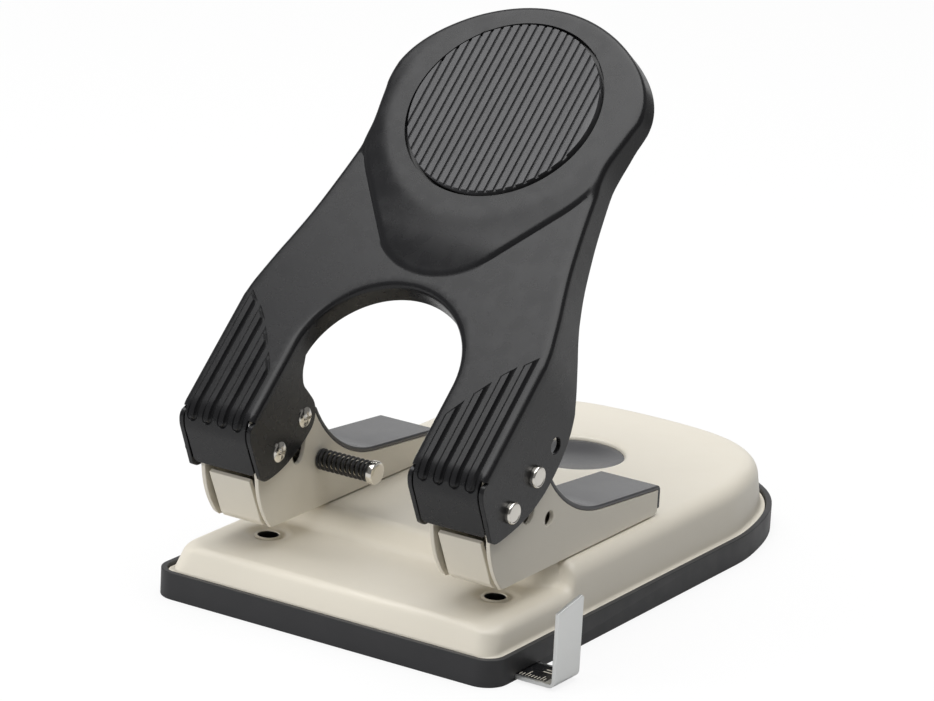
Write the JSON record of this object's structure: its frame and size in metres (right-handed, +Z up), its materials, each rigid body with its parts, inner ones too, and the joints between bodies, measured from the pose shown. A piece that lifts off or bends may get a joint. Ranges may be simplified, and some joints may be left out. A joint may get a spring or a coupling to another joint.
{
  "type": "two-hole paper punch",
  "caption": "Heavy-duty two-hole paper punch with an arched lever, sprung punches in channel frames, a lock plunger, a sliding paper guide and a push-fit chip tray",
  "frame": {"origin": "on the flat underside of the tray, under the middle of the line through the two holes", "axes": "+X to the right along the hole line, +Y to the rear, the way the lever reaches, and +Z up"},
  "size_m": [0.1333, 0.1983, 0.1684],
  "materials": {
    "ivory_paint": "semi-gloss stoving paint on pressed steel",
    "black_paint": "semi-gloss stoving paint on pressed steel",
    "tray_plastic": "moulded, fine matte texture",
    "grey_plastic": "moulded, fine matte texture",
    "pad_plastic": "moulded, grooved",
    "nickel": "bright nickel plating",
    "steel": "ground and oiled",
    "dark_steel": "hardened, dark",
    "black_spring": "blackened spring wire",
    "zinc": "bright zinc plating"
  },
  "bodies": {
    "base": {"base_plate": "ivory_paint", "dish_insert": "grey_plastic", "die_bush_left": "dark_steel", "die_bush_right": "dark_steel", "punch_frame_left": "ivory_paint", "punch_frame_right": "ivory_paint", "frame_cap_left": "grey_plastic", "frame_cap_right": "grey_plastic", "guide_bush_left": "steel", "guide_bush_right": "steel", "frame_rivets_left": "steel", "frame_rivets_right": "steel", "return_spring_left": "steel", "return_spring_right": "steel", "lock_spring": "black_spring"},
    "tray": {"chip_tray": "tray_plastic"},
    "guide": {"paper_guide": "zinc"},
    "lever": {"lever": "black_paint", "pad_insert": "pad_plastic", "pivot_pin_left": "nickel", "pivot_pin_right": "nickel", "pusher_pin_left": "nickel", "pusher_pin_right": "nickel", "pivot_screw_left": "nickel", "pivot_screw_right": "nickel", "pusher_screw_left": "nickel", "pusher_screw_right": "nickel"},
    "punch_left": {"punch_left": "steel", "spring_collar_left": "steel"},
    "punch_right": {"punch_right": "steel", "spring_collar_right": "steel"},
    "lock": {"lock_plunger": "nickel", "lock_clip": "steel"}
  },
  "joints": [
    {"name": "lever_swing", "type": "hinge", "parent": "base", "child": "lever", "pos_m": [0, -0.01485, 0.0476], "axis": [-1, 0, 0], "range_deg": [0, 51.2], "stiffness_Nm_per_rad": 0.6, "springref_deg": -34.38},
    {"name": "punch_left_slide", "type": "slide", "parent": "base", "child": "punch_left", "axis": [0, 0, -1], "range_m": [0, 0.01247], "deforming": ["return_spring_left"]},
    {"name": "punch_right_slide", "type": "slide", "parent": "base", "child": "punch_right", "axis": [0, 0, -1], "range_m": [0, 0.01247], "deforming": ["return_spring_right"]},
    {"name": "lock_push", "type": "slide", "parent": "base", "child": "lock", "axis": [-1, 0, 0], "range_m": [0, 0.005], "stiffness_N_per_m": 300, "springref_m": -0.005, "deforming": ["lock_spring"]},
    {"name": "tray_release", "type": "slide", "parent": "base", "child": "tray", "axis": [0, 0, -1], "range_m": [0, 0.012]},
    {"name": "guide_slide", "type": "slide", "parent": "tray", "child": "guide", "axis": [1, 0, 0], "range_m": [-0.0105, 0.077]}
  ],
  "couplings": [
    {"joint": "punch_left_slide", "follows": "lever_swing", "m_per_rad": 0.013946},
    {"joint": "punch_right_slide", "follows": "lever_swing", "m_per_rad": 0.013946}
  ]
}
